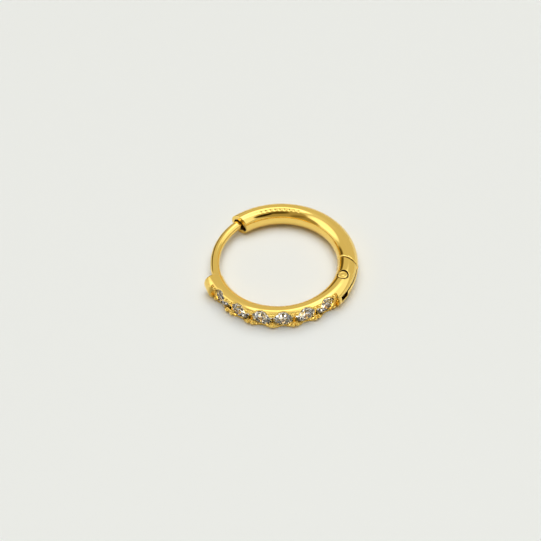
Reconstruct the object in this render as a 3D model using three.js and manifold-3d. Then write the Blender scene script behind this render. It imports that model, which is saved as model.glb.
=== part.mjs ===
// Hinged hoop earring set with six round stones, lying on its side.
// Millimetres, +Z up. The hoop is modelled round its own centre in the plane z = 0 and is then
// stood on z = 0. Angles are in degrees, counterclockwise from +X, seen from above.

import * as THREE from 'three';
import { ConvexGeometry } from 'three/addons/geometries/ConvexGeometry.js';
import { mergeVertices } from 'three/addons/utils/BufferGeometryUtils.js';
import Module from 'manifold-3d';

const wasm = await Module();
wasm.setup();

// The hoop's tube, a little taller than it is wide
const RING_RADIUS = 7.05;
const TUBE_HALF_WIDTH = 1.07;
const TUBE_HALF_HEIGHT = 1.2;
const RING_STEPS = 96;
const TUBE_SIDES = 32;

// Back tube: end face with the catch, whose face lines up with the hinge pin
const CATCH_ANGLE = 125.1;
const CATCH_FACE_LIE = 138;
const CATCH_BORE_RADIUS = 0.58;
const CATCH_BORE_DEPTH = 1.05;
const CATCH_BORE_OFFSET = 0.04;
const RELIEF_HOLE_RADIUS = 0.36;
const RELIEF_HOLE_DEPTH = 0.9;
const RELIEF_HOLE_OFFSET = -0.55;
const RELIEF_HOLE_Z = -0.2;

// Hinge: pin through two ears of the front segment and a tongue of the back tube
const PIN_RADIUS_FROM_CENTRE = 6.95;
const PIN_ANGLE = -24.9;
const PIN_RADIUS = 0.4;
const PIN_HEAD_RADIUS = 0.5;
const PIN_HEAD_UNDERSIDE = 0.87;
const PIN_HEAD_EDGE = 1.08;
const PIN_TOP = 1.17;
const HEAD_SINK_RADIUS = 0.6;
const HEAD_SINK_FLOOR = 0.83;
const PIN_CLEARANCE = 0.03;
const SEAM_FROM_PIN = 2.24;
const SEAM_NORMAL = 55.7;
const SEAM_GAP = 0.06;
const TONGUE_THICKNESS = 0.5;
const TONGUE_BOSS_RADIUS = 0.84;
const TONGUE_NOSE_ANGLE = -34;
const TONGUE_ROOT_ANGLE = 6;
const TONGUE_ROOT_RADIUS = 6;
const NOSE_FLARE = 0.6;
const SLOT_TOP = 0.5;
const SLOT_BOTTOM = -0.3;
const SLOT_END_ANGLE = -41.8;
const SLOT_STOP_ANGLE = -36.5;
const SLOT_STOP_RADIUS = 6.45;
const BEYOND_SEAM = 10;

// Front segment: full round block at the left, milled recess with the stone seats
const BLOCK_END_ANGLE = -164.5;
const RECESS_START_ANGLE = -155;
const RECESS_END_ANGLE = -44;
const RECESS_FLOOR_RADIUS = 7.5;

// Stones: round brilliants, tables outwards, set by hand at slightly uneven angles
const STONE_ANGLES = [-145, -125.3, -106.5, -89.6, -71.5, -53.5];
const GIRDLE_FROM_CENTRE = 7.15;
const STONE_RADIUS = 1.02;
const TABLE_RADIUS = 0.57;
const CROWN_HEIGHT = 0.3;
const GIRDLE_HEIGHT = 0.06;
const PAVILION_DEPTH = 0.88;
const STONE_CLEARANCE = 0.03;
const SEAT_DEPTH = 0.1;
const SCALLOP_RADIUS = 0.87;
const SCALLOP_FLOOR_RADIUS = 7.25;
const GROOVE_FLOOR_RADIUS = 7.1;
const GROOVE_HALF_HEIGHT = 0.45;

// Prongs: four round a stone, their bases in the rail
const PRONG_RADIUS = 0.2;
const PRONG_SPREAD = 50;
const PRONG_BASE = 6.8;
const PRONG_TIP = 7.66;
const PRONG_DOME = 0.12;

// Ear wire: a plain arc with a round tip, set in a blind hole of the block
const WIRE_CENTRE = [0.301, 0.437];
const WIRE_ARC_RADIUS = 6.983;
const WIRE_RADIUS = 0.48;
const WIRE_ROOT_ANGLE = -158;
const WIRE_TIP_ANGLE = 127;
const WIRE_SOCKET_ANGLE = -157.6;
const WIRE_CLEARANCE = 0.02;
const WIRE_STEPS = 120;
const WIRE_SIDES = 20;

const INSIDE = 5;       // radii clear of the tube, for cutting prisms
const OUTSIDE = 9;
const REACH = 12;
const DEEP = 2;         // half-height clear of the tube
const rad = THREE.MathUtils.degToRad;

const gold = () => new THREE.MeshStandardMaterial({ color: 0xe3b758, roughness: 0.16, metalness: 1 });
const crystal = () => new THREE.MeshStandardMaterial({ color: 0xe6e3dc, roughness: 0.03, metalness: 0 });

// A point in the hoop's plane, given by its distance from the centre and its angle.
function polar(radius, angle) {
  return new THREE.Vector2(radius * Math.cos(rad(angle)), radius * Math.sin(rad(angle)));
}

function heading(angle) {
  return polar(1, angle);
}

function arcPoints(radius, from, to, steps) {
  const points = [];
  for (let i = 0; i <= steps; i += 1) {
    points.push(polar(radius, from + ((to - from) * i) / steps));
  }
  return points;
}

const PIN = polar(PIN_RADIUS_FROM_CENTRE, PIN_ANGLE);

// Closed geometry to a solid that can be joined and cut, and back to a mesh.
function solid(geometry) {
  geometry.deleteAttribute('normal');
  geometry.deleteAttribute('uv');
  const merged = mergeVertices(geometry, 1e-5);
  return new wasm.Manifold(new wasm.Mesh({
    numProp: 3,
    vertProperties: new Float32Array(merged.attributes.position.array),
    triVerts: new Uint32Array(merged.index.array),
  }));
}

function meshOf(body, name, material) {
  const { vertProperties, triVerts } = body.getMesh();
  const geometry = new THREE.BufferGeometry();
  geometry.setAttribute('position', new THREE.BufferAttribute(new Float32Array(vertProperties), 3));
  geometry.setIndex(new THREE.BufferAttribute(new Uint32Array(triVerts), 1));
  const mesh = new THREE.Mesh(geometry, material);
  mesh.name = name;
  return mesh;
}

// A full ring in the plane z = 0, its section an ellipse.
function ring(ringRadius, halfWidth, halfHeight, steps, sides) {
  const profile = [];
  for (let i = 0; i <= sides; i += 1) {
    const turn = (2 * Math.PI * (i % sides)) / sides;
    profile.push(new THREE.Vector2(ringRadius + halfWidth * Math.cos(turn), halfHeight * Math.sin(turn)));
  }
  return new THREE.LatheGeometry(profile, steps).rotateX(Math.PI / 2);
}

function hoopRing() {
  return ring(RING_RADIUS, TUBE_HALF_WIDTH, TUBE_HALF_HEIGHT, RING_STEPS, TUBE_SIDES);
}

// An outline in the hoop's plane, as a prism between two heights.
function prism(outline, bottom, top) {
  const shape = new THREE.Shape(outline);
  const geometry = new THREE.ExtrudeGeometry(shape, { depth: top - bottom, bevelEnabled: false });
  return solid(geometry.translate(0, 0, bottom));
}

// A turned shape on the Z axis of the pin: profile points are [radius, height].
function turnedOnPin(profile, sides) {
  const points = profile.map(([radius, height]) => new THREE.Vector2(radius, height));
  return solid(new THREE.LatheGeometry(points, sides).rotateX(Math.PI / 2).translate(PIN.x, PIN.y, 0));
}

// A turned shape whose axis points out of the hoop at an angle: [radius, distance from the centre].
function turnedOutwards(profile, sides, angle) {
  const points = profile.map(([radius, distance]) => new THREE.Vector2(radius, distance));
  return new THREE.LatheGeometry(points, sides).rotateZ(rad(angle - 90));
}

// Two points of a straight cut across the tube, inside the hoop first.
function cutAcross(point, lie) {
  const along = heading(lie).multiplyScalar(3);
  return [point.clone().sub(along), point.clone().add(along)];
}

function seamCut(fromPin) {
  const foot = PIN.clone().add(heading(SEAM_NORMAL).multiplyScalar(fromPin));
  return cutAcross(foot, SEAM_NORMAL - 90);
}

// ---- back tube ----

function catchPoint(offset) {
  return polar(RING_RADIUS, CATCH_ANGLE).add(heading(CATCH_FACE_LIE).multiplyScalar(offset));
}

// A straight bore into the end face.
function catchBore(offset, height, radius, depth, sides) {
  const mouth = 0.3;
  const centre = catchPoint(offset);
  const inwards = heading(CATCH_FACE_LIE - 90).multiplyScalar((depth - mouth) / 2);
  const bore = new THREE.CylinderGeometry(radius, radius, depth + mouth, sides);
  bore.rotateZ(rad(CATCH_FACE_LIE - 180));
  return solid(bore.translate(centre.x + inwards.x, centre.y + inwards.y, height));
}

// Plain lug that reaches from the seam round the pin; its outer edge follows the tube.
function tongueOutline() {
  const nose = polar(RING_RADIUS + TUBE_HALF_WIDTH, TONGUE_NOSE_ANGLE);
  const noseFromPin = nose.clone().sub(PIN);
  const noseTurn = THREE.MathUtils.radToDeg(noseFromPin.angle()) - 360;
  const tangentTurn = noseTurn - THREE.MathUtils.radToDeg(Math.acos(TONGUE_BOSS_RADIUS / noseFromPin.length()));
  const boss = arcPoints(TONGUE_BOSS_RADIUS, tangentTurn, PIN_ANGLE - 180, 8).map((p) => p.add(PIN));
  return [nose, ...boss, polar(TONGUE_ROOT_RADIUS, TONGUE_ROOT_ANGLE), polar(OUTSIDE, TONGUE_ROOT_ANGLE),
    polar(OUTSIDE, PIN_ANGLE), noseFromPin.setLength(NOSE_FLARE).add(nose)];
}

function backTube() {
  const [seamIn, seamOut] = seamCut(SEAM_FROM_PIN);
  const [catchIn, catchOut] = cutAcross(polar(RING_RADIUS, CATCH_ANGLE), CATCH_FACE_LIE);
  const stretch = [seamIn, seamOut, ...arcPoints(REACH, BEYOND_SEAM, CATCH_ANGLE - 15, 5), catchOut, catchIn];
  const tube = solid(hoopRing());
  const tongue = tube.intersect(prism(tongueOutline(), -TONGUE_THICKNESS / 2, TONGUE_THICKNESS / 2));
  const pinHole = turnedOnPin([[0, -DEEP], [PIN_RADIUS + PIN_CLEARANCE, -DEEP],
    [PIN_RADIUS + PIN_CLEARANCE, DEEP], [0, DEEP]], 32);
  return tube
    .intersect(prism(stretch, -DEEP, DEEP))
    .add(tongue)
    .subtract(pinHole)
    .subtract(catchBore(CATCH_BORE_OFFSET, 0, CATCH_BORE_RADIUS, CATCH_BORE_DEPTH, 32))
    .subtract(catchBore(RELIEF_HOLE_OFFSET, RELIEF_HOLE_Z, RELIEF_HOLE_RADIUS, RELIEF_HOLE_DEPTH, 20));
}

// ---- front segment ----

// The slot for the tongue, with a step at its inner end that stops the hinge.
function hingeSlot() {
  const outline = [polar(OUTSIDE, SLOT_END_ANGLE), polar(SLOT_STOP_RADIUS, SLOT_END_ANGLE),
    polar(SLOT_STOP_RADIUS, SLOT_STOP_ANGLE), polar(INSIDE, SLOT_STOP_ANGLE), polar(INSIDE, BEYOND_SEAM),
    polar(REACH, BEYOND_SEAM)];
  return prism(outline, SLOT_BOTTOM, SLOT_TOP);
}

// The pin's hole with a round sink for its head at both ends.
function pinSeat() {
  const hole = PIN_RADIUS + PIN_CLEARANCE;
  return turnedOnPin([[0, -DEEP], [HEAD_SINK_RADIUS, -DEEP], [HEAD_SINK_RADIUS, -HEAD_SINK_FLOOR],
    [hole, -HEAD_SINK_FLOOR], [hole, HEAD_SINK_FLOOR], [HEAD_SINK_RADIUS, HEAD_SINK_FLOOR],
    [HEAD_SINK_RADIUS, DEEP], [0, DEEP]], 32);
}

function recess() {
  const outline = [...arcPoints(RECESS_FLOOR_RADIUS, RECESS_START_ANGLE, RECESS_END_ANGLE, 30),
    ...arcPoints(REACH, RECESS_END_ANGLE, RECESS_START_ANGLE, 5)];
  return prism(outline, -DEEP, DEEP);
}

// A seat: cone for the pavilion, then a bearing and a straight wall round the girdle.
function stoneSeat(angle) {
  const wall = STONE_RADIUS + STONE_CLEARANCE;
  const bearing = GIRDLE_FROM_CENTRE - SEAT_DEPTH;
  const culet = GIRDLE_FROM_CENTRE - PAVILION_DEPTH - 2 * STONE_CLEARANCE;
  return solid(turnedOutwards([[0, culet], [wall - SEAT_DEPTH, bearing], [wall, bearing], [wall, REACH],
    [0, REACH]], 32, angle));
}

// An upright notch across the rail beside a stone, which bares its girdle at both edges.
function scallop(angle) {
  const axis = polar(SCALLOP_FLOOR_RADIUS + SCALLOP_RADIUS, angle);
  const notch = new THREE.CylinderGeometry(SCALLOP_RADIUS, SCALLOP_RADIUS, 2 * DEEP, 32);
  return solid(notch.rotateX(Math.PI / 2).translate(axis.x, axis.y, 0));
}

// A groove along the row of stones, between the upper prongs and the lower ones.
function groove() {
  const first = STONE_ANGLES[0];
  const last = STONE_ANGLES[STONE_ANGLES.length - 1];
  const outline = [...arcPoints(GROOVE_FLOOR_RADIUS, first, last, 30), ...arcPoints(REACH, last, first, 5)];
  return prism(outline, -GROOVE_HALF_HEIGHT, GROOVE_HALF_HEIGHT);
}

// One prong, straight out beside a stone; side and rise say which of the four.
function prong(angle, side, rise) {
  const spread = STONE_RADIUS + STONE_CLEARANCE + PRONG_RADIUS;
  const along = side * spread * Math.sin(rad(PRONG_SPREAD));
  const up = rise * spread * Math.cos(rad(PRONG_SPREAD));
  const shape = turnedOutwards([[0, PRONG_BASE], [PRONG_RADIUS, PRONG_BASE],
    [PRONG_RADIUS, PRONG_TIP - PRONG_DOME], [0.6 * PRONG_RADIUS, PRONG_TIP - 0.2 * PRONG_DOME],
    [0, PRONG_TIP]], 10, angle);
  const offset = heading(angle + 90).multiplyScalar(along);
  return solid(shape.translate(offset.x, offset.y, up));
}

// The ear wire's arc between two angles, at a given thickness.
function wireArc(radius, rootAngle, tipAngle) {
  const [x, y] = WIRE_CENTRE;
  const centre = new THREE.Vector2(x, y);
  const arc = solid(ring(WIRE_ARC_RADIUS, radius, radius, WIRE_STEPS, WIRE_SIDES).translate(x, y, 0));
  const outline = [centre, ...arcPoints(REACH, tipAngle, rootAngle + 360, 6).map((p) => p.add(centre))];
  return arc.intersect(prism(outline, -DEEP, DEEP));
}

function frontSegment() {
  const [seamIn, seamOut] = seamCut(SEAM_FROM_PIN - SEAM_GAP);
  const [blockIn, blockOut] = cutAcross(polar(RING_RADIUS, BLOCK_END_ANGLE), BLOCK_END_ANGLE);
  const stretch = [blockIn, blockOut, ...arcPoints(REACH, BLOCK_END_ANGLE + 10, PIN_ANGLE, 6), seamOut, seamIn];
  let body = solid(hoopRing())
    .intersect(prism(stretch, -DEEP, DEEP))
    .subtract(recess())
    .subtract(groove());
  for (const angle of STONE_ANGLES) {
    body = body.subtract(stoneSeat(angle)).subtract(scallop(angle));
  }
  for (const angle of STONE_ANGLES) {
    for (const side of [-1, 1]) {
      body = body.add(prong(angle, side, -1)).add(prong(angle, side, 1));
    }
  }
  return body
    .subtract(hingeSlot())
    .subtract(pinSeat())
    .subtract(wireArc(WIRE_RADIUS + WIRE_CLEARANCE, WIRE_SOCKET_ANGLE, 170));
}

// ---- ear wire, pin and stones ----

function earWire() {
  const tip = polar(WIRE_ARC_RADIUS, WIRE_TIP_ANGLE);
  const ball = new THREE.SphereGeometry(WIRE_RADIUS, WIRE_SIDES, 12);
  ball.rotateX(Math.PI / 2).translate(WIRE_CENTRE[0] + tip.x, WIRE_CENTRE[1] + tip.y, 0);
  return wireArc(WIRE_RADIUS, WIRE_ROOT_ANGLE, WIRE_TIP_ANGLE).add(solid(ball));
}

function hingePin() {
  const half = [[PIN_RADIUS, PIN_HEAD_UNDERSIDE], [PIN_HEAD_RADIUS, PIN_HEAD_UNDERSIDE],
    [PIN_HEAD_RADIUS, PIN_HEAD_EDGE], [0.6 * PIN_HEAD_RADIUS, PIN_TOP - 0.02], [0, PIN_TOP]];
  const below = half.map(([radius, height]) => [radius, -height]).reverse();
  return turnedOnPin([...below, ...half], 32);
}

// Round brilliant: table, eight kite facets with stars and halves, girdle, pavilion.
function brilliant(angle) {
  const points = [];
  const around = (count, turn, radius, distance) => {
    for (let i = 0; i < count; i += 1) {
      const t = rad(turn + (360 * i) / count);
      points.push(new THREE.Vector3(radius * Math.cos(t), distance, radius * Math.sin(t)));
    }
  };
  const girdleTop = GIRDLE_FROM_CENTRE + GIRDLE_HEIGHT / 2;
  const girdleBottom = GIRDLE_FROM_CENTRE - GIRDLE_HEIGHT / 2;
  around(8, 22.5, TABLE_RADIUS, girdleTop + CROWN_HEIGHT);
  around(8, 0, 0.78 * STONE_RADIUS, girdleTop + 0.57 * CROWN_HEIGHT);
  around(16, 0, STONE_RADIUS, girdleTop);
  around(16, 0, STONE_RADIUS, girdleBottom);
  around(1, 0, 0, girdleBottom - PAVILION_DEPTH);
  return solid(new ConvexGeometry(points).rotateZ(rad(angle - 90)));
}

// ---- the earring ----

const hoop = new THREE.Group();
hoop.add(meshOf(backTube(), 'back_tube', gold()));
hoop.add(meshOf(frontSegment(), 'front_segment', gold()));
hoop.add(meshOf(earWire(), 'ear_wire', gold()));
hoop.add(meshOf(hingePin(), 'hinge_pin', gold()));
STONE_ANGLES.forEach((angle, i) => hoop.add(meshOf(brilliant(angle), `stone_${i + 1}`, crystal())));

// Stand it on z = 0 with its box centred on the Z axis.
const box = new THREE.Box3().setFromObject(hoop);
const middle = box.getCenter(new THREE.Vector3());
hoop.position.set(-middle.x, -middle.y, -box.min.z);

const earring = new THREE.Group();
earring.add(hoop);

export default earring;
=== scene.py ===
"""A hinged hoop earring lying on its side: gold tube, ear wire, hinge pin and six set stones.

The pieces are shaped in millimetres round the hoop's own centre, with the hoop's axis upwards,
and settled into the frame's metres when they are finished. Angles are in degrees,
counterclockwise from +X, seen from above.
"""

import math

import bmesh
import bpy
from mathutils import Matrix, Vector


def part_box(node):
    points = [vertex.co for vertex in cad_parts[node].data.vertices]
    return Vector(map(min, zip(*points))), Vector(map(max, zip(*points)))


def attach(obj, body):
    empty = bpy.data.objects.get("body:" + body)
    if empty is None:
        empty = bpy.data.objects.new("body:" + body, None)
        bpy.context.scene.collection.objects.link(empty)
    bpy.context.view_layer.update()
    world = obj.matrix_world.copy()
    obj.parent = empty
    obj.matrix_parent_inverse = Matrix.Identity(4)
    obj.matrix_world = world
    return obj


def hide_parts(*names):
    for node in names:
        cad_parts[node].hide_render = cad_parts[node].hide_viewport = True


MM = 0.001

# The hoop's tube
RING_RADIUS = 7.05
TUBE_HALF_WIDTH = 1.07
TUBE_HALF_HEIGHT = 1.2
TUBE_SIDES = 72
STEPS_PER_TURN = 240

# The uncut tubes that the two halves and the tongue are made from: first and last angle
BACK_SPAN = (-20, 136)
FRONT_SPAN = (-175, 8)
TONGUE_SPAN = (-45, 15)

# Cutters reach clear of the tube: inside it, outside it, and half their height
CLEAR_INSIDE = 5
CLEAR_OUTSIDE = 12
CLEAR_HEIGHT = 2

# Sides of round cutters and rods
HOLE_SIDES = 48
BORE_SIDES = 56
FINE_SIDES = 64

# Trimming: where the waste ends lie, how far they reach from there, how squarely (or roughly) a face
# has to look the given way, and the turns by which a rim is rounded
BACK_SEAM_WASTE = -8
FRONT_SEAM_WASTE = -4
CATCH_WASTE = 127.1
BLOCK_WASTE = -168
WASTE_REACH = 3
SQUARELY = 0.999
ROUGHLY = 0.98
RIM_TURNS = (18, 36, 54, 72, 90)

# Points closer than this are one, and a face this close to a height lies at it
MERGED = 1e-4
LEVEL_WITHIN = 1e-3

# Edges sharper than this stay sharp on the cut pieces and on the turned ones
CUT_SHARP_ANGLE = 35
TURNED_SHARP_ANGLE = 50

# Open end of the back tube
CATCH_ANGLE = 125.1
CATCH_FACE_LIE = 138
CATCH_RIM = 0.08
CATCH_BORE_RADIUS = 0.58
CATCH_BORE_DEPTH = 1.05
CATCH_BORE_OFFSET = 0.04
CATCH_BORE_CHAMFER = 0.12
DRILL_PROUD = 0.3
RELIEF_HOLE_SIDES = 40
RELIEF_HOLE_RADIUS = 0.36
RELIEF_HOLE_DEPTH = 0.9
RELIEF_HOLE_OFFSET = -0.55
RELIEF_HOLE_HEIGHT = -0.2

# Row of round punch marks along the top of the back tube
PUNCH_MARKS = 9
PUNCH_FIRST_ANGLE = 105
PUNCH_STEP = -4.5
PUNCH_LIE = 113
PUNCH_RADIUS = 0.3
PUNCH_DEPTH = 0.04

# Hinge
PIN_FROM_CENTRE = 6.95
PIN_ANGLE = -24.9
PIN_RADIUS = 0.4
PIN_CLEARANCE = 0.03
PIN_HEAD_RADIUS = 0.5
PIN_HEAD_UNDERSIDE = 0.87
PIN_TOP = 1.17
PIN_HEAD_PROFILE = ((1, 0.1), (0.97, 0.06), (0.85, 0.02), (0.7, 0), (0.58, 0.03), (0.4, 0.01), (0.1, 0))
HEAD_SINK_RADIUS = 0.6
HEAD_SINK_FLOOR = 0.83
SEAM_FROM_PIN = 2.24
SEAM_NORMAL = 55.7
SEAM_GAP = 0.11
SEAM_RIM = 0.14
FRONT_SEAM_RIM = 0.04
TONGUE_THICKNESS = 0.5
TONGUE_BOSS_RADIUS = 0.84
TONGUE_BOSS_STEPS = 16
TONGUE_NOSE_ANGLE = -34
TONGUE_NOSE_PROUD = 0.6
TONGUE_ROOT_ANGLE = 6
TONGUE_ROOT_RADIUS = 6
SLOT_TOP = 0.5
SLOT_BOTTOM = -0.3
SLOT_END_ANGLE = -41.8
SLOT_STOP_ANGLE = -36.5
SLOT_STOP_RADIUS = 6.45
SLOT_MOUTH_ANGLE = 10

# Front segment
BLOCK_END_ANGLE = -164.5
BLOCK_RIM = 0.16
RECESS_START_ANGLE = -155
RECESS_END_ANGLE = -44
RECESS_FLOOR_RADIUS = 7.5
RECESS_STEPS = 72
OUTER_STEPS = 12

# Stones and prongs
STONE_ANGLES = (-145, -125.3, -106.5, -89.6, -71.5, -53.5)
GIRDLE_FROM_CENTRE = 7.15
STONE_RADIUS = 1.02
TABLE_SHARE = 0.56
CROWN_ANGLE = 34
STAR_ANGLE = 21
UPPER_HALF_ANGLE = 41.5
PAVILION_ANGLE = 40.8
LOWER_HALF_ANGLE = 42.1
GIRDLE_HEIGHT = 0.06
BLANK_DEPTH = 1.1
STONE_CLEARANCE = 0.03
SEAT_DEPTH = 0.1
SEAT_TIP_RADIUS = 0.02
SCALLOP_RADIUS = 0.87
SCALLOP_FLOOR_RADIUS = 7.25
GROOVE_FLOOR_RADIUS = 7.1
GROOVE_HALF_HEIGHT = 0.45
GROOVE_STEPS = 60
PRONG_RADIUS = 0.2
PRONG_SPREAD = 50
PRONG_BASE = 6.8
PRONG_TIP = 7.66
PRONG_DOME = 0.14
PRONG_DOME_TURNS = (0, 15, 30, 45, 60, 75, 86)
PRONG_SIDES = 24

# Ear wire
WIRE_CENTRE = (0.301, 0.437)
WIRE_ARC_RADIUS = 6.983
WIRE_RADIUS = 0.48
WIRE_ROOT_ANGLE = -158
WIRE_TIP_ANGLE = 127
WIRE_TIP_REACH = 0.1
WIRE_TIP_TURNS = (20, 38, 54, 68, 80)
WIRE_SOCKET_ANGLE = -157.6
WIRE_SOCKET_SPAN = 20
WIRE_CLEARANCE = 0.02
WIRE_SIDES = 40

# How far round the metal's edges are worn
EDGE_WEAR = 0.1

# Floor, in metres
FLOOR_SIZE = 3

# Camera: its distance and lean, and where the hoop sits in the frame
CAMERA_DISTANCE = 105.75
CAMERA_ELEVATION = 49.12
CAMERA_ROLL = -3.21
CAMERA_LENS = 68.03
CAMERA_SHIFT = (-0.0166, -0.0131)

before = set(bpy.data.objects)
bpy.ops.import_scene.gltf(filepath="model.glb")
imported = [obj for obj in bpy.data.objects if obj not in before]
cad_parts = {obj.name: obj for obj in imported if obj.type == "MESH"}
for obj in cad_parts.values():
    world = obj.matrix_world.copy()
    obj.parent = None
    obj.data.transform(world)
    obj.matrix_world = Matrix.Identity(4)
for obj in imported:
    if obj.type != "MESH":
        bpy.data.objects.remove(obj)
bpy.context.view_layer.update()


# ---- places ----

def polar(radius, angle, height=0.0):
    """A point given by its distance from the hoop's axis, its angle and its height."""
    turn = math.radians(angle)
    return Vector((radius * math.cos(turn), radius * math.sin(turn), height))


def arc(radius, start, end, steps):
    return [polar(radius, start + (end - start) * i / steps) for i in range(steps + 1)]


PIN = polar(PIN_FROM_CENTRE, PIN_ANGLE)
back_low, back_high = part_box("back_tube")
OUTER_RADIUS = RING_RADIUS + TUBE_HALF_WIDTH
HOOP_CENTRE = Vector((
    back_high.x - OUTER_RADIUS * MM,
    back_high.y - OUTER_RADIUS * MM,
    (back_low.z + back_high.z) / 2,
))


# ---- finishes ----

class Shade:
    """A socket inside a finish, so that shader maths reads as plain expressions."""

    def __init__(self, finish, socket):
        self.finish = finish
        self.socket = socket

    def _math(self, operation, *values):
        return self.finish.node("ShaderNodeMath", {"operation": operation}, dict(enumerate(values)))

    def __add__(self, other):
        return self._math("ADD", self, other)

    def __radd__(self, other):
        return self._math("ADD", other, self)

    def __sub__(self, other):
        return self._math("SUBTRACT", self, other)

    def __rsub__(self, other):
        return self._math("SUBTRACT", other, self)

    def __mul__(self, other):
        return self._math("MULTIPLY", self, other)


class Finish:
    """A material, or the studio's surroundings, whose nodes are added one call at a time."""

    def __init__(self, name, kept_in=bpy.data.materials):
        self.owner = kept_in.new(name)
        self.owner.use_nodes = True
        self.tree = self.owner.node_tree
        self.tree.nodes.clear()

    def node(self, kind, settings=None, inputs=None, output=0):
        made = self.tree.nodes.new(kind)
        for key, value in (settings or {}).items():
            setattr(made, key, value)
        for key, value in (inputs or {}).items():
            if isinstance(value, Shade):
                self.tree.links.new(value.socket, made.inputs[key])
            else:
                made.inputs[key].default_value = value
        return Shade(self, made.outputs[output])

    def noise(self, waves_per_mm, detail):
        """Soft noise that lies fixed in the piece's own coordinates."""
        spot = self.node("ShaderNodeTexCoord", output="Object")
        scale = waves_per_mm / MM
        place = self.node("ShaderNodeMapping", {"vector_type": "POINT"}, {
            "Vector": spot, "Scale": (scale, scale, scale)})
        return self.node("ShaderNodeTexNoise", {}, {"Vector": place, "Scale": 1.0, "Detail": detail})

    def blend(self, share, first, second):
        """Mixes two colours by a share."""
        return self.node("ShaderNodeMix", {"data_type": "RGBA"}, {0: share, 6: first, 7: second}, output=2)

    def surface(self, shader, kind="ShaderNodeOutputMaterial"):
        out = self.tree.nodes.new(kind)
        self.tree.links.new(shader.socket, out.inputs["Surface"])
        return self.owner


def polished_gold():
    """Plated gold: near mirror, with faint handling haze, fine polishing lines and colour drift."""
    finish = Finish("polished_gold")
    haze = finish.noise(0.45, 3.0)
    grain = finish.noise(9.0, 2.0)
    ripple = finish.noise(0.9, 1.0)
    colour = finish.blend(haze, (0.97, 0.67, 0.165, 1), (0.98, 0.695, 0.19, 1))
    roughness = 0.02 + haze * 0.04 + grain * 0.03
    worn_edges = finish.node("ShaderNodeBevel", {"samples": 8}, {"Radius": EDGE_WEAR * MM})
    waves = finish.node("ShaderNodeBump", {}, {
        "Strength": 0.05, "Distance": 0.00005, "Height": ripple, "Normal": worn_edges})
    return finish.surface(finish.node("ShaderNodeBsdfPrincipled", {}, {
        "Base Color": colour, "Metallic": 1.0, "Roughness": roughness, "Normal": waves}))


def clear_stone():
    """Cut stone: clear, strongly bending light, with a trace of warm grey."""
    finish = Finish("clear_stone")
    cloud = finish.noise(0.8, 2.0)
    colour = finish.blend(cloud, (0.98, 0.97, 0.94, 1), (1.0, 1.0, 1.0, 1))
    return finish.surface(finish.node("ShaderNodeBsdfPrincipled", {}, {
        "Base Color": colour, "Roughness": 0.0, "IOR": 2.15, "Specular IOR Level": 0.8,
        "Transmission Weight": 1.0}))


def painted_shade_metal():
    """Painted shade for the faces inside drilled holes, the slot and the seams: its near-black brown colour
    stands in for the shadow there, on metal left duller and rougher than the polished outside.
    """
    finish = Finish("painted_shade_metal")
    mottle = finish.noise(4.0, 2.0)
    # The near-black browns are painted shade, mottled, not the metal's own colour
    colour = finish.blend(mottle, (0.04, 0.022, 0.006, 1), (0.09, 0.05, 0.014, 1))
    return finish.surface(finish.node("ShaderNodeBsdfPrincipled", {}, {
        "Base Color": colour, "Metallic": 0.7, "Roughness": 0.5 + mottle * 0.2}))


def studio_floor():
    finish = Finish("studio_floor")
    fibre = finish.noise(0.02, 2.0)
    colour = finish.blend(fibre, (0.875, 0.89, 0.87, 1), (0.885, 0.90, 0.88, 1))
    return finish.surface(finish.node("ShaderNodeBsdfPrincipled", {}, {
        "Base Color": colour, "Roughness": 0.6, "Specular IOR Level": 0.2}))


gold = polished_gold()
# The dark finish is painted shade, laid on the faces inside holes, the slot and the seams
shade_finish = painted_shade_metal()
crystal = clear_stone()


# ---- modelling by hand ----

def use(piece):
    """Selects one piece alone and makes it active."""
    bpy.ops.object.select_all(action="DESELECT")
    piece.select_set(True)
    bpy.context.view_layer.objects.active = piece


def added(name):
    """Names the primitive just added and puts its place into its mesh."""
    piece = bpy.context.object
    piece.name = piece.data.name = name
    use(piece)
    bpy.ops.object.transform_apply(location=True, rotation=True, scale=True)
    return piece


def edit(piece, everything=False):
    use(piece)
    bpy.ops.object.mode_set(mode="EDIT")
    bpy.ops.mesh.select_mode(type="VERT")
    bpy.ops.mesh.select_all(action="SELECT" if everything else "DESELECT")


def done():
    bpy.ops.object.mode_set(mode="OBJECT")


def select_where(piece, test, faces=False):
    """In edit mode, selects the vertices, or faces by their middle and normal, that pass a test."""
    mesh = bmesh.from_edit_mesh(piece.data)
    if faces:
        bpy.ops.mesh.select_mode(type="FACE")
        for face in mesh.faces:
            face.select = test(face.calc_center_median(), face.normal)
    else:
        for vertex in mesh.verts:
            vertex.select = test(vertex.co)
    mesh.select_flush_mode()
    bmesh.update_edit_mesh(piece.data)


def face_out():
    """In edit mode: one skin, its faces outwards."""
    bpy.ops.mesh.select_mode(type="VERT")
    bpy.ops.mesh.select_all(action="SELECT")
    bpy.ops.mesh.remove_doubles(threshold=MERGED)
    bpy.ops.mesh.normals_make_consistent(inside=False)


def tube(name, ring_radius, half_width, half_height, start, end, sides, centre=(0, 0)):
    """A bent tube of elliptical section between two angles, closed at its ends."""
    section = polar(ring_radius, start) + Vector((*centre, 0))
    bpy.ops.mesh.primitive_circle_add(vertices=sides, radius=1, fill_type="NOTHING", location=section,
                                      rotation=(math.pi / 2, 0, math.radians(start)))
    bpy.context.object.scale = (half_width, half_height, 1)
    piece = added(name)
    edit(piece, everything=True)
    steps = max(8, round(STEPS_PER_TURN * (end - start) / 360))
    bpy.ops.mesh.spin(steps=steps, angle=math.radians(end - start), center=(*centre, 0), axis=(0, 0, -1))
    bpy.ops.mesh.select_all(action="SELECT")
    bpy.ops.mesh.fill_holes(sides=0)
    face_out()
    done()
    return wear(piece, gold)


def hoop_tube(name, span):
    """A length of the hoop's own tube."""
    return tube(name, RING_RADIUS, TUBE_HALF_WIDTH, TUBE_HALF_HEIGHT, *span, TUBE_SIDES)


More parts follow.
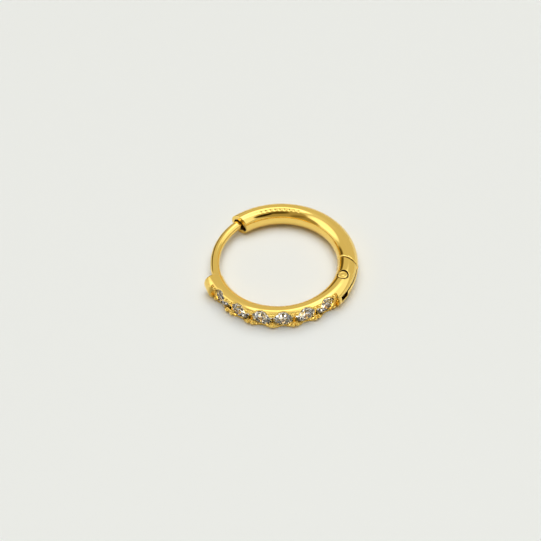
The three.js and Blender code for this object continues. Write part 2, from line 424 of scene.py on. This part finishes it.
def trim(piece, near, point, outwards, rim, finish=None):
    """Saws one end of a tube off along a plane, rounds its rim and may give its face another finish."""
    def at_end(place):
        return (place - near).length < WASTE_REACH

    def on_end_face(middle, normal):
        return normal.dot(outwards) > SQUARELY and at_end(middle)

    edit(piece)
    select_where(piece, at_end)
    bpy.ops.mesh.bisect(plane_co=point - outwards * rim, plane_no=outwards, use_fill=True, clear_outer=True)
    select_where(piece, on_end_face, faces=True)
    end_face = [face.calc_center_median() for face in bmesh.from_edit_mesh(piece.data).faces if face.select]
    middle = sum(end_face, Vector()) / len(end_face)
    along = Vector((0, 0, 1)).cross(middle).normalized()
    along /= along.dot(outwards)
    drawn, narrowed = 0.0, 0.0
    for turn in RIM_TURNS:
        further = rim * math.sin(math.radians(turn))
        narrower = rim * (1 - math.cos(math.radians(turn)))
        bpy.ops.mesh.extrude_region_move(TRANSFORM_OT_translate={"value": along * (further - drawn)})
        share = (TUBE_HALF_WIDTH - narrower) / (TUBE_HALF_WIDTH - narrowed)
        bpy.ops.transform.resize(value=(share, share, share), center_override=middle + along * further)
        drawn, narrowed = further, narrower
    if finish:
        piece.data.materials.append(finish)
        piece.active_material_index = len(piece.data.materials) - 1
        select_where(piece, on_end_face, faces=True)
        bpy.ops.object.material_slot_assign()
    done()


def plate(name, outline, bottom, top):
    """A flat plate of a given outline between two heights."""
    bpy.ops.mesh.primitive_circle_add(vertices=len(outline), radius=1, fill_type="NGON")
    piece = added(name)
    for vertex, corner in zip(piece.data.vertices, outline):
        vertex.co = (corner.x, corner.y, bottom)
    edit(piece, everything=True)
    bpy.ops.mesh.extrude_region_move(TRANSFORM_OT_translate={"value": (0, 0, top - bottom)})
    face_out()
    done()
    return piece


def stepped_rod(name, sides, steps):
    """A round rod on the Z axis, extruded and scaled from step to step: (radius, height) each."""
    radius, height = steps[0]
    bpy.ops.mesh.primitive_circle_add(vertices=sides, radius=radius, fill_type="NGON",
                                      location=(0, 0, height))
    piece = added(name)
    edit(piece, everything=True)
    for next_radius, next_height in steps[1:]:
        bpy.ops.mesh.extrude_region_move(TRANSFORM_OT_translate={"value": (0, 0, next_height - height)})
        if next_radius != radius:
            share = next_radius / radius
            bpy.ops.transform.resize(value=(share, share, 1), center_override=(0, 0, next_height))
        radius, height = next_radius, next_height
    face_out()
    done()
    return wear(piece, gold)


def through_drill(name, radius, sides):
    """An upright drill that goes right through the tube."""
    return stepped_rod(name, sides, [(radius, -CLEAR_HEIGHT), (radius, CLEAR_HEIGHT)])


def put(piece, matrix):
    """Moves a piece's mesh by a matrix."""
    piece.matrix_world = matrix
    use(piece)
    bpy.ops.object.transform_apply(location=True, rotation=True, scale=True)
    return piece


def copied(piece, name):
    use(piece)
    bpy.ops.object.duplicate(linked=False)
    twin = bpy.context.object
    twin.name = twin.data.name = name
    return twin


def repeated(first, matrices):
    """Copies of a piece, each moved by its own matrix; the first itself is used up."""
    copies = [put(copied(first, f"{first.name}_{i}"), matrix) for i, matrix in enumerate(matrices)]
    bpy.data.objects.remove(first)
    return copies


def outwards_at(angle):
    """Turns a rod's +Z to point out of the hoop at an angle."""
    return Matrix.Rotation(math.radians(angle), 4, "Z") @ Matrix.Rotation(math.pi / 2, 4, "Y")


def joined(pieces):
    use(pieces[0])
    for piece in pieces[1:]:
        piece.select_set(True)
    bpy.ops.object.join()
    return pieces[0]


def wear(piece, material):
    piece.data.materials.clear()
    piece.data.materials.append(material)
    return piece


def combine(piece, other, operation, finish=None):
    """Cuts, joins or intersects with another piece, which is used up and leaves its finish on the cut."""
    wear(other, finish or gold)
    use(piece)
    modifier = piece.modifiers.new("combine", "BOOLEAN")
    modifier.operation = operation
    modifier.solver = "EXACT"
    modifier.material_mode = "TRANSFER"
    modifier.object = other
    bpy.ops.object.modifier_apply(modifier=modifier.name)
    bpy.data.objects.remove(other)
    return piece


def smooth(piece, angle):
    """Shades a piece smooth, save at edges sharper than an angle."""
    use(piece)
    bpy.ops.object.shade_smooth_by_angle(angle=math.radians(angle))


def settle(piece, body, node):
    """From millimetres round the hoop's centre to the frame, riding on a body in a node's stead."""
    put(piece, Matrix.Translation(HOOP_CENTRE) @ Matrix.Scale(MM, 4))
    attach(piece, body)
    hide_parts(node)


def wire(name, radius, start, end):
    """A length of round wire on the ear wire's own arc."""
    return tube(name, WIRE_ARC_RADIUS, radius, radius, start, end, WIRE_SIDES, WIRE_CENTRE)


# ---- back tube ----

def seam_cut(from_pin):
    return PIN + polar(from_pin, SEAM_NORMAL)


def catch_bore(name, offset, height, radius, depth, sides, chamfer=0.0):
    """A drill for the open end, along the face's normal, that may chamfer its mouth."""
    wide = radius + chamfer
    drill = stepped_rod(name, sides, [(radius, -depth), (radius, -chamfer), (wide, 0), (wide, DRILL_PROUD)])
    centre = polar(RING_RADIUS, CATCH_ANGLE) + polar(offset, CATCH_FACE_LIE) + Vector((0, 0, height))
    return put(drill, Matrix.Translation(centre) @ outwards_at(CATCH_FACE_LIE + 90))


def tongue():
    """The hinge's lug: a slice of the tube, cut round the pin."""
    nose = polar(OUTER_RADIUS, TONGUE_NOSE_ANGLE)
    from_pin = nose - PIN
    nose_turn = math.degrees(math.atan2(from_pin.y, from_pin.x))
    tangent_turn = nose_turn - math.degrees(math.acos(TONGUE_BOSS_RADIUS / from_pin.length))
    boss = arc(TONGUE_BOSS_RADIUS, tangent_turn, PIN_ANGLE - 180, TONGUE_BOSS_STEPS)
    outline = [nose, *(PIN + point for point in boss), polar(TONGUE_ROOT_RADIUS, TONGUE_ROOT_ANGLE),
               polar(CLEAR_OUTSIDE, TONGUE_ROOT_ANGLE), polar(CLEAR_OUTSIDE, PIN_ANGLE),
               nose + from_pin.normalized() * TONGUE_NOSE_PROUD]
    lug = hoop_tube("tongue", TONGUE_SPAN)
    half = TONGUE_THICKNESS / 2
    return combine(lug, plate("tongue_outline", outline, -half, half), "INTERSECT")


def punch_marks():
    """Round punches sunk a little into the tube's skin, evenly spaced."""
    lie = math.radians(PUNCH_LIE)
    skin = (RING_RADIUS + TUBE_HALF_WIDTH * math.cos(lie), TUBE_HALF_HEIGHT * math.sin(lie))
    off = Vector((math.cos(lie) / TUBE_HALF_WIDTH, math.sin(lie) / TUBE_HALF_HEIGHT)).normalized()
    radius, height = Vector(skin) + off * (PUNCH_RADIUS - PUNCH_DEPTH)
    punches = []
    for i in range(PUNCH_MARKS):
        place = polar(radius, PUNCH_FIRST_ANGLE + PUNCH_STEP * i, height)
        bpy.ops.mesh.primitive_uv_sphere_add(segments=24, ring_count=12, radius=PUNCH_RADIUS, location=place)
        punches.append(added("punch"))
    return joined(punches)


def back_tube():
    piece = hoop_tube("back_tube", BACK_SPAN)
    # The seam face gets the dark painted shade finish
    trim(piece, polar(RING_RADIUS, BACK_SEAM_WASTE), seam_cut(SEAM_FROM_PIN), polar(-1, SEAM_NORMAL),
         SEAM_RIM, shade_finish)
    trim(piece, polar(RING_RADIUS, CATCH_WASTE), polar(RING_RADIUS, CATCH_ANGLE),
         polar(1, CATCH_FACE_LIE + 90), CATCH_RIM)
    combine(piece, punch_marks(), "DIFFERENCE")
    combine(piece, tongue(), "UNION")
    # The insides of the pin hole, the wire's bore and the relief hole get the dark painted shade finish
    pin_hole = put(through_drill("pin_hole", PIN_RADIUS + PIN_CLEARANCE, HOLE_SIDES), Matrix.Translation(PIN))
    combine(piece, pin_hole, "DIFFERENCE", shade_finish)
    wire_bore = catch_bore("catch_bore", CATCH_BORE_OFFSET, 0, CATCH_BORE_RADIUS, CATCH_BORE_DEPTH,
                           BORE_SIDES, CATCH_BORE_CHAMFER)
    combine(piece, wire_bore, "DIFFERENCE", shade_finish)
    relief_hole = catch_bore("relief_hole", RELIEF_HOLE_OFFSET, RELIEF_HOLE_HEIGHT, RELIEF_HOLE_RADIUS,
                             RELIEF_HOLE_DEPTH, RELIEF_HOLE_SIDES)
    combine(piece, relief_hole, "DIFFERENCE", shade_finish)
    smooth(piece, CUT_SHARP_ANGLE)
    return piece


# ---- front segment ----

def hinge_slot():
    outline = [polar(CLEAR_OUTSIDE, SLOT_END_ANGLE), polar(SLOT_STOP_RADIUS, SLOT_END_ANGLE),
               polar(SLOT_STOP_RADIUS, SLOT_STOP_ANGLE), polar(CLEAR_INSIDE, SLOT_STOP_ANGLE),
               polar(CLEAR_INSIDE, SLOT_MOUTH_ANGLE), polar(CLEAR_OUTSIDE, SLOT_MOUTH_ANGLE)]
    return plate("hinge_slot", outline, SLOT_BOTTOM, SLOT_TOP)


def lit_slot_floor_in_gold(piece):
    """Gives the slot's lower face, which catches the light, the outside's finish, the piece's first, in place
    of the painted shade that the slot's other faces keep.
    """
    def on_floor(middle, normal):
        return normal.z > SQUARELY and abs(middle.z - SLOT_BOTTOM) < LEVEL_WITHIN

    edit(piece)
    select_where(piece, on_floor, faces=True)
    piece.active_material_index = 0
    bpy.ops.object.material_slot_assign()
    done()


def pin_seat():
    hole = PIN_RADIUS + PIN_CLEARANCE
    drill = stepped_rod("pin_seat", BORE_SIDES, [
        (HEAD_SINK_RADIUS, -CLEAR_HEIGHT), (HEAD_SINK_RADIUS, -HEAD_SINK_FLOOR), (hole, -HEAD_SINK_FLOOR),
        (hole, HEAD_SINK_FLOOR), (HEAD_SINK_RADIUS, HEAD_SINK_FLOOR), (HEAD_SINK_RADIUS, CLEAR_HEIGHT)])
    return put(drill, Matrix.Translation(PIN))


def milled(name, floor_radius, start, end, steps, half_height):
    """A cutter that mills the tube's outer side down to a radius between two angles."""
    outline = [*arc(floor_radius, start, end, steps), *arc(CLEAR_OUTSIDE, end, start, OUTER_STEPS)]
    return plate(name, outline, -half_height, half_height)


def recess():
    return milled("recess", RECESS_FLOOR_RADIUS, RECESS_START_ANGLE, RECESS_END_ANGLE, RECESS_STEPS,
                  CLEAR_HEIGHT)


def groove():
    """Parts the upper prongs from the lower ones along the row of stones."""
    return milled("groove", GROOVE_FLOOR_RADIUS, STONE_ANGLES[0], STONE_ANGLES[-1], GROOVE_STEPS,
                  GROOVE_HALF_HEIGHT)


def scallops():
    """Upright notches across the rail, one beside each seat, that bare the stones' girdles."""
    middle_radius = SCALLOP_FLOOR_RADIUS + SCALLOP_RADIUS
    return repeated(through_drill("scallop", SCALLOP_RADIUS, FINE_SIDES),
                    [Matrix.Translation(polar(middle_radius, angle)) for angle in STONE_ANGLES])


def stone_seats():
    wall = STONE_RADIUS + STONE_CLEARANCE
    bearing = GIRDLE_FROM_CENTRE - SEAT_DEPTH
    pavilion = STONE_RADIUS * math.tan(math.radians(PAVILION_ANGLE))
    tip = GIRDLE_FROM_CENTRE - pavilion - 2 * STONE_CLEARANCE
    return repeated(stepped_rod("seat", BORE_SIDES, [
        (SEAT_TIP_RADIUS, tip), (wall - SEAT_DEPTH, bearing), (wall, bearing), (wall, CLEAR_OUTSIDE)]),
        [outwards_at(angle) for angle in STONE_ANGLES])


def prongs():
    """Four domed pegs round each stone."""
    dome = [(PRONG_RADIUS * math.cos(turn), PRONG_TIP - PRONG_DOME * (1 - math.sin(turn)))
            for turn in map(math.radians, PRONG_DOME_TURNS)]
    spread = STONE_RADIUS + STONE_CLEARANCE + PRONG_RADIUS
    along = spread * math.sin(math.radians(PRONG_SPREAD))
    rise = spread * math.cos(math.radians(PRONG_SPREAD))
    return repeated(stepped_rod("prong", PRONG_SIDES, [(PRONG_RADIUS, PRONG_BASE), *dome]),
                    [Matrix.Translation(polar(side, angle + 90, height)) @ outwards_at(angle)
                     for angle in STONE_ANGLES for side in (-along, along) for height in (-rise, rise)])


def front_segment():
    piece = hoop_tube("front_segment", FRONT_SPAN)
    trim(piece, polar(RING_RADIUS, BLOCK_WASTE), polar(RING_RADIUS, BLOCK_END_ANGLE),
         polar(1, BLOCK_END_ANGLE - 90), BLOCK_RIM)
    # The seam face gets the dark painted shade finish
    trim(piece, polar(RING_RADIUS, FRONT_SEAM_WASTE), seam_cut(SEAM_FROM_PIN - SEAM_GAP),
         polar(1, SEAM_NORMAL), FRONT_SEAM_RIM, shade_finish)
    for cutter in (recess(), groove(), *stone_seats(), *scallops()):
        combine(piece, cutter, "DIFFERENCE")
    for peg in prongs():
        combine(piece, peg, "UNION")
    # The slot, the pin's seat and the wire's socket get the dark painted shade finish; the slot's lit lower
    # face goes back to gold
    combine(piece, hinge_slot(), "DIFFERENCE", shade_finish)
    lit_slot_floor_in_gold(piece)
    combine(piece, pin_seat(), "DIFFERENCE", shade_finish)
    socket = wire("wire_socket", WIRE_RADIUS + WIRE_CLEARANCE, WIRE_SOCKET_ANGLE - WIRE_SOCKET_SPAN,
                  WIRE_SOCKET_ANGLE)
    combine(piece, socket, "DIFFERENCE", shade_finish)
    smooth(piece, CUT_SHARP_ANGLE)
    return piece


# ---- ear wire, pin and stones ----

def ear_wire():
    """A bent wire whose tip is rounded over by shrinking its last sections."""
    piece = wire("ear_wire", WIRE_RADIUS, WIRE_TIP_ANGLE, WIRE_ROOT_ANGLE + 360)
    tip = polar(WIRE_ARC_RADIUS, WIRE_TIP_ANGLE) + Vector((*WIRE_CENTRE, 0))
    onwards = polar(1, WIRE_TIP_ANGLE - 90)

    def on_tip_face(middle, normal):
        return normal.dot(onwards) > ROUGHLY and (middle - tip).length < WIRE_TIP_REACH

    edit(piece)
    select_where(piece, on_tip_face, faces=True)
    drawn, narrowed = 0.0, 1.0
    for turn in map(math.radians, WIRE_TIP_TURNS):
        further, narrower = WIRE_RADIUS * math.sin(turn), math.cos(turn)
        bpy.ops.mesh.extrude_region_move(TRANSFORM_OT_translate={"value": onwards * (further - drawn)})
        share = narrower / narrowed
        bpy.ops.transform.resize(value=(share, share, share), center_override=tip + onwards * further)
        drawn, narrowed = further, narrower
    face_out()
    done()
    smooth(piece, TURNED_SHARP_ANGLE)
    return piece


def hinge_pin():
    """A rivet with a low domed head and a shallow ring on it at both ends."""
    half = [(PIN_RADIUS, PIN_HEAD_UNDERSIDE), (PIN_HEAD_RADIUS, PIN_HEAD_UNDERSIDE),
            *((share * PIN_HEAD_RADIUS, PIN_TOP - drop) for share, drop in PIN_HEAD_PROFILE)]
    below = [(radius, -height) for radius, height in reversed(half)]
    piece = stepped_rod("hinge_pin", BORE_SIDES, below + half)
    put(piece, Matrix.Translation(PIN))
    smooth(piece, TURNED_SHARP_ANGLE)
    return piece


def facet(lean, turn, reach):
    """Grinds one flat facet: it leans from level, faces a turn and cuts at a reach from the middle."""
    level, around = math.radians(lean), math.radians(turn)
    normal = Vector((math.sin(level) * math.cos(around), math.sin(level) * math.sin(around), math.cos(level)))
    bpy.ops.mesh.select_all(action="SELECT")
    bpy.ops.mesh.bisect(plane_co=normal * reach, plane_no=normal, use_fill=True, clear_outer=True)


def brilliant():
    """A round brilliant, ground facet by facet from a round blank; its girdle is at height 0."""
    top = GIRDLE_HEIGHT / 2
    table = TABLE_SHARE * STONE_RADIUS
    crown = top + (STONE_RADIUS - table) * math.tan(math.radians(CROWN_ANGLE))
    blank = stepped_rod("stone", FINE_SIDES, [
        (STONE_RADIUS, -BLANK_DEPTH * STONE_RADIUS), (STONE_RADIUS, crown)])
    edit(blank, everything=True)

    def through(radius, height, lean, off=0.0):
        """A facet's reach when its plane passes a point of that radius and height, off its own middle."""
        level = math.radians(lean)
        return radius * math.cos(math.radians(off)) * math.sin(level) + height * math.cos(level)

    eighths = range(0, 360, 45)
    for turn in eighths:
        facet(CROWN_ANGLE, turn, through(STONE_RADIUS, top, CROWN_ANGLE))
        facet(180 - PAVILION_ANGLE, turn, through(STONE_RADIUS, top, PAVILION_ANGLE))
    table_corner = table / math.cos(math.radians(22.5))
    for turn in eighths:
        for half_turn in (turn - 11.25, turn + 11.25):
            facet(UPPER_HALF_ANGLE, half_turn, through(STONE_RADIUS, top, UPPER_HALF_ANGLE))
            facet(180 - LOWER_HALF_ANGLE, half_turn, through(STONE_RADIUS, top, LOWER_HALF_ANGLE))
        facet(STAR_ANGLE, turn + 22.5, through(table_corner, crown, STAR_ANGLE, 22.5))
    bpy.ops.mesh.select_all(action="SELECT")
    bpy.ops.mesh.remove_doubles(threshold=MERGED)
    done()
    return blank


# ---- the earring ----

for build, body in ((back_tube, "back"), (front_segment, "front"), (ear_wire, "front"), (hinge_pin, "front")):
    made = build()
    made.name = made.data.name = f"polished_{build.__name__}"
    settle(made, body, build.__name__)

cut_stone = brilliant()
for number, stone_angle in enumerate(STONE_ANGLES, 1):
    stone = copied(cut_stone, f"cut_stone_{number}")
    put(stone, outwards_at(stone_angle) @ Matrix.Translation((0, 0, GIRDLE_FROM_CENTRE)))
    wear(stone, crystal)
    settle(stone, "front", f"stone_{number}")
bpy.data.objects.remove(cut_stone)


# ---- floor, light and camera ----

bpy.ops.mesh.primitive_grid_add(x_subdivisions=8, y_subdivisions=8, size=FLOOR_SIZE, location=(0, 0, 0))
floor = added("floor")
wear(floor, studio_floor())


def softbox(name, place, size, power):
    """A square area light that looks at the hoop; places and sizes in millimetres."""
    light = bpy.data.lights.new(name, "AREA")
    light.size = size * MM
    light.energy = power
    lamp = bpy.data.objects.new(name, light)
    bpy.context.scene.collection.objects.link(lamp)
    lamp.location = HOOP_CENTRE + Vector(place) * MM
    lamp.rotation_euler = (-Vector(place)).to_track_quat("-Z", "Y").to_euler()


softbox("overhead", place=(60, 110, 420), size=260, power=0.05)


def studio_tent():
    """White tent round the hoop: windows left, right and overhead, and dim patches at the front and back."""
    tent = Finish("studio_tent", bpy.data.worlds)
    direction = tent.node("ShaderNodeTexCoord", output="Generated")

    def patch(azimuth, height, inner, outer):
        """How far a direction lies inside a round soft-edged patch of the tent, 0 to 1."""
        level, around = math.radians(height), math.radians(azimuth)
        middle = (math.cos(level) * math.cos(around), math.cos(level) * math.sin(around), math.sin(level))
        near = tent.node("ShaderNodeVectorMath", {"operation": "DOT_PRODUCT"},
                         {0: direction, 1: middle}, "Value")
        least, most = math.cos(math.radians(outer)), math.cos(math.radians(inner))
        return tent.node("ShaderNodeMapRange", {"interpolation_type": "SMOOTHSTEP"},
                         {"Value": near, "From Min": least, "From Max": most})

    left = patch(179, 36, 18, 30)
    left_foot = patch(180, 8, 16, 26)
    right = patch(-18, 44, 32, 38)
    roof = patch(20, 84, 20, 42)
    back = patch(50, 64, 8, 20)
    ring = patch(35, 84, 20, 24) - patch(35, 84, 14, 18)
    front = patch(-97, 42, 32, 39)
    front_left = patch(-138, 12, 18, 30)
    lens = patch(-66, 38, 10, 15)
    camera = patch(-94, 48, 11, 15)
    back_left = patch(126, 3, 19, 28)
    light = 0.68 + left * 0.75 + left_foot * 0.16 + right * 0.4 + roof * 0.12 + back * 0.5 + ring * 1.1
    shade = ((1 - front * 0.42) * (1 - front_left * 0.5) * (1 - lens * 0.92) * (1 - camera * 0.72)
             * (1 - back_left * 0.82))
    level = light * shade

    def ray(kind):
        return tent.node("ShaderNodeLightPath", output=f"Is {kind} Ray")

    plain = ray("Camera") + ray("Diffuse")
    sparkle = ray("Transmission")
    top = patch(60, 84, 6, 44)
    tint = tent.blend(level, (1, 0.74, 0.16, 1), (1, 1.04, 1.1, 1))
    floor_light = tent.blend(top, (1, 0.8, 0.5, 1), (1, 1.07, 1.15, 1))
    colour = tent.blend(plain, tent.blend(sparkle, tint, (1, 0.97, 0.9, 1)), floor_light)
    gleam = level * (1 - sparkle) + level * level * sparkle * 2.2
    strength = gleam * (1 - plain) + plain * (0.12 + top * 2.9)
    return tent.surface(tent.node("ShaderNodeBackground", {}, {
        "Color": colour, "Strength": strength}), "ShaderNodeOutputWorld")


bpy.context.scene.world = studio_tent()
bpy.context.scene.view_settings.view_transform = "Standard"

elevation, roll = math.radians(CAMERA_ELEVATION), math.radians(CAMERA_ROLL)
towards = Vector((0, math.cos(elevation), -math.sin(elevation)))
level_right = Vector((1, 0, 0))
level_up = level_right.cross(towards)
right = math.cos(roll) * level_right + math.sin(roll) * level_up
up = math.cos(roll) * level_up - math.sin(roll) * level_right
camera_data = bpy.data.cameras.new("camera")
camera_data.lens = CAMERA_LENS
camera_data.sensor_width = 36
camera_data.clip_start = 0.002
camera_data.clip_end = 10
camera_data.shift_x, camera_data.shift_y = CAMERA_SHIFT
camera = bpy.data.objects.new("camera", camera_data)
bpy.context.scene.collection.objects.link(camera)
camera.matrix_world = Matrix.Translation(HOOP_CENTRE - towards * CAMERA_DISTANCE * MM) @ Matrix(
    (right, up, -towards)).transposed().to_4x4()
bpy.context.scene.camera = camera
